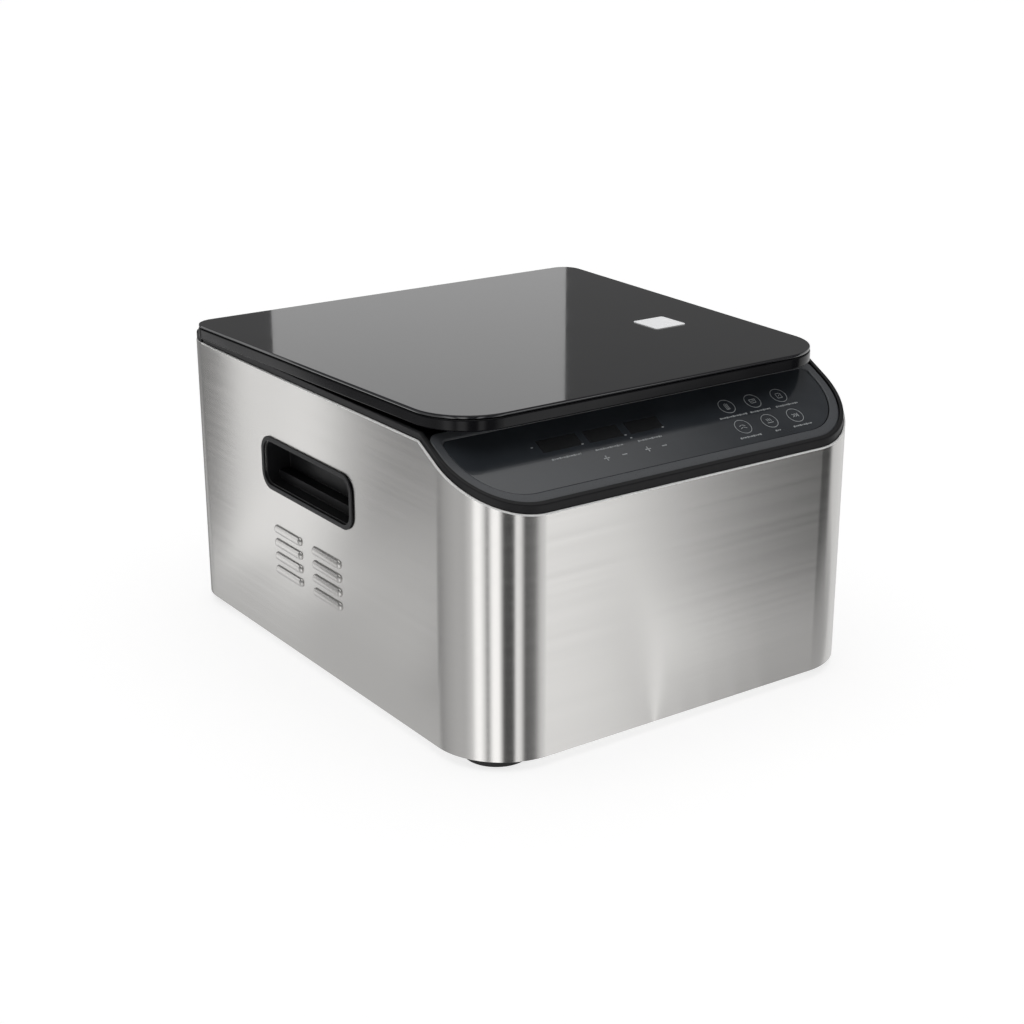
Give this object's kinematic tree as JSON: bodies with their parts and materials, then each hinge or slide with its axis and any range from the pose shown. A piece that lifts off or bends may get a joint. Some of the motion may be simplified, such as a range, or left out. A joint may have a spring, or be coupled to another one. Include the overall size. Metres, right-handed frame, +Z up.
{
  "type": "chamber vacuum sealer",
  "caption": "Tabletop chamber vacuum sealer with a brushed steel casing, rear-hinged black glass lid, sloping touch panel, recessed side grips and louvred sides.",
  "frame": {"origin": "middle of the footprint on the table, under the four feet", "axes": "+Z up, the front control panel faces -Y, +X to the right seen from the front"},
  "size_m": [0.3562, 0.418, 0.2344],
  "materials": {
    "steel": "vertically brushed stainless sheet",
    "chamber_steel": "satin drawn stainless",
    "plated_steel": "zinc-plated steel",
    "foot_rubber": "moulded black rubber",
    "gasket_rubber": "soft black silicone rubber",
    "hose_rubber": "black hose",
    "black_plastic": "fine-textured moulded black plastic",
    "gloss_black": "glossy moulded black plastic",
    "grey_plastic": "satin dark grey plastic",
    "white_plastic": "white plastic plate",
    "overlay_gloss": "glossy dark touch panel",
    "display_dark": "dark display module",
    "circuit_board": "green circuit board",
    "lid_glass": "black-backed glossy glass",
    "label": "blank white sticker",
    "silicone": "grey silicone strip",
    "seal_tape": "brown woven non-stick tape",
    "aluminium": "cast and extruded aluminium",
    "brass": "machined brass",
    "motor_iron": "dark laminated iron",
    "coil_wrap": "taped copper coil"
  },
  "bodies": {
    "cabinet": {"casing_wrap": "steel", "base_plate": "steel", "rear_panel": "steel", "foot_front_left": "foot_rubber", "foot_front_right": "foot_rubber", "foot_rear_left": "foot_rubber", "foot_rear_right": "foot_rubber", "grip_cup_left": "black_plastic", "grip_cup_right": "black_plastic", "top_frame": "black_plastic", "panel_bezel": "grey_plastic", "control_overlay": "overlay_gloss", "display_left": "display_dark", "display_middle": "display_dark", "display_right": "display_dark", "control_board": "circuit_board", "chamber_tub": "chamber_steel", "chamber_gasket": "gasket_rubber", "filler_plate": "white_plastic", "lift_cylinder_left": "black_plastic", "lift_cylinder_right": "black_plastic", "vacuum_port": "brass", "hinge_cover": "black_plastic", "hinge_beam": "plated_steel", "hinge_bracket_left": "plated_steel", "hinge_pin_left": "plated_steel", "hinge_bracket_right": "plated_steel", "hinge_pin_right": "plated_steel", "pump_plate": "plated_steel", "pump_mount_left": "gasket_rubber", "pump_mount_right": "gasket_rubber", "pump_motor": "motor_iron", "pump_head_left": "aluminium", "pump_head_right": "aluminium", "valve_block": "brass", "valve_coil_vacuum": "coil_wrap", "valve_coil_vent": "coil_wrap", "port_hose": "hose_rubber", "pump_hose": "hose_rubber", "transformer_core": "motor_iron", "transformer_coil": "coil_wrap", "power_board": "circuit_board", "fan_frame": "black_plastic", "power_inlet": "black_plastic", "switch_housing": "black_plastic", "fuse_holder": "black_plastic"},
    "lid": {"lid_frame": "gloss_black", "lid_glass": "lid_glass", "lid_label": "label", "backing_holder": "aluminium", "backing_strip": "silicone", "hinge_arm_left": "plated_steel", "hinge_arm_right": "plated_steel"},
    "seal_bar_unit": {"seal_bar": "aluminium", "heating_strip": "steel", "seal_tape": "seal_tape"},
    "cooling_fan": {"fan_rotor": "black_plastic"},
    "pump_rotor": {"pump_shaft": "plated_steel"},
    "power_switch": {"switch_rocker": "gloss_black"}
  },
  "joints": [
    {"name": "lid_hinge", "type": "hinge", "parent": "cabinet", "child": "lid", "pos_m": [0, 0.188, 0.208], "axis": [-1, 0, 0], "range_deg": [0, 65]},
    {"name": "seal_bar_lift", "type": "slide", "parent": "cabinet", "child": "seal_bar_unit", "axis": [0, 0, 1], "range_m": [0, 0.006]},
    {"name": "fan_spin", "type": "hinge", "parent": "cabinet", "child": "cooling_fan", "pos_m": [-0.095, 0.194, 0.104], "axis": [0, 1, 0], "continuous": true},
    {"name": "pump_spin", "type": "hinge", "parent": "cabinet", "child": "pump_rotor", "pos_m": [0, 0.062, 0.058], "axis": [1, 0, 0], "continuous": true},
    {"name": "switch_rock", "type": "hinge", "parent": "cabinet", "child": "power_switch", "pos_m": [0.048, 0.2054, 0.042], "axis": [-1, 0, 0], "range_deg": [0, 16]}
  ]
}
